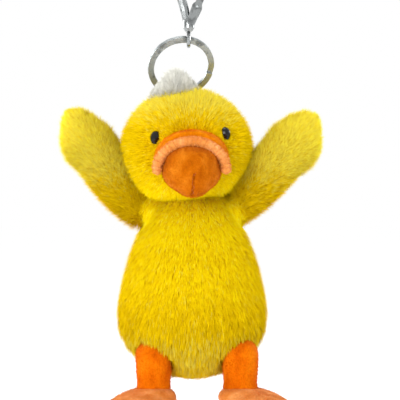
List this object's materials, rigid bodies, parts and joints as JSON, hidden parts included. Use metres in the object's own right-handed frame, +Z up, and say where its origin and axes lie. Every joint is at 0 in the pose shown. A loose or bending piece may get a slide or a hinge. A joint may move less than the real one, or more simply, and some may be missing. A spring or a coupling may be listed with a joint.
{
  "type": "plush duck keychain",
  "caption": "Stuffed duck charm with raised wings and dangling legs, hung by a ribbon loop from a split ring and a swivel lobster clasp.",
  "frame": {"origin": "seat of the hook: the inner top of the clasp, where the keychain hangs on a strap or a key loop", "axes": "+Z up along the hanging line, +Y to the duck's back, so the face looks along -Y; +X to the duck's left"},
  "size_m": [0.0916, 0.0588, 0.1725],
  "materials": {
    "chrome": "polished plated zinc and steel",
    "ring_steel": "nickel-plated spring steel",
    "yellow_fur": "yellow short-pile plush fur",
    "orange_velboa": "orange velboa",
    "peach_velboa": "lighter peach-orange velboa",
    "white_fur": "white long-pile fur",
    "ribbon": "woven satin ribbon",
    "filling": "loose polyester fibre filling",
    "black_gloss": "moulded black eye",
    "clear_plastic": "moulded locking washer"
  },
  "bodies": {
    "clasp": {"clasp_body": "chrome", "gate_pin": "chrome", "gate_spring": "chrome"},
    "gate": {"clasp_gate": "chrome"},
    "swivel": {"swivel_eye": "chrome"},
    "ring": {"split_ring": "ring_steel"},
    "plush": {"ribbon_loop": "ribbon", "head_skin": "yellow_fur", "head_stuffing": "filling", "body_skin": "yellow_fur", "body_stuffing": "filling", "head_tuft": "white_fur", "upper_bill_skin": "orange_velboa", "upper_bill_stuffing": "filling", "bill_lip": "peach_velboa", "lower_bill_skin": "orange_velboa", "lower_bill_stuffing": "filling", "left_eye": "black_gloss", "left_eye_washer": "clear_plastic", "right_eye": "black_gloss", "right_eye_washer": "clear_plastic"},
    "left_wing": {"left_wing_skin": "yellow_fur", "left_wing_stuffing": "filling"},
    "left_leg": {"left_leg_skin": "orange_velboa", "left_leg_stuffing": "filling", "left_foot_upper": "peach_velboa", "left_foot_stuffing": "filling", "left_foot_sole": "peach_velboa"},
    "right_wing": {"right_wing_skin": "yellow_fur", "right_wing_stuffing": "filling"},
    "right_leg": {"right_leg_skin": "orange_velboa", "right_leg_stuffing": "filling", "right_foot_upper": "peach_velboa", "right_foot_stuffing": "filling", "right_foot_sole": "peach_velboa"}
  },
  "joints": [
    {"name": "gate_hinge", "type": "hinge", "parent": "clasp", "child": "gate", "pos_m": [0.0026, 0, -0.0186], "axis": [0, -1, 0], "range_deg": [0, 28], "stiffness_Nm_per_rad": 0.004, "springref_deg": -28.65},
    {"name": "swivel_spin", "type": "hinge", "parent": "clasp", "child": "swivel", "pos_m": [-0.0005, 0, -0.0276], "axis": [0, 0, 1], "continuous": true},
    {"name": "ring_swing", "type": "hinge", "parent": "swivel", "child": "ring", "pos_m": [-0.0005, 0, -0.0306], "axis": [1, 0, 0], "range_deg": [-60, 60]},
    {"name": "plush_swing", "type": "hinge", "parent": "ring", "child": "plush", "pos_m": [-0.00629, 0.01138, -0.04949], "axis": [1, 0, 0], "range_deg": [-8, 60], "stiffness_Nm_per_rad": 0.03, "springref_deg": -8.55},
    {"name": "left_wing_swing", "type": "hinge", "parent": "plush", "child": "left_wing", "pos_m": [0.0234, 0.00157, -0.0955], "axis": [0, 1, 0], "range_deg": [0, 75], "stiffness_Nm_per_rad": 0.006, "springref_deg": -17.19},
    {"name": "right_wing_swing", "type": "hinge", "parent": "plush", "child": "right_wing", "pos_m": [-0.0215, 0.00157, -0.0955], "axis": [0, -1, 0], "range_deg": [0, 75], "stiffness_Nm_per_rad": 0.006, "springref_deg": -17.19},
    {"name": "left_leg_swing", "type": "hinge", "parent": "plush", "child": "left_leg", "pos_m": [0.0184, -0.00943, -0.1465], "axis": [-1, 0, 0], "range_deg": [0, 56]},
    {"name": "right_leg_swing", "type": "hinge", "parent": "plush", "child": "right_leg", "pos_m": [-0.0132, -0.00943, -0.1465], "axis": [-1, 0, 0], "range_deg": [0, 56]}
  ]
}
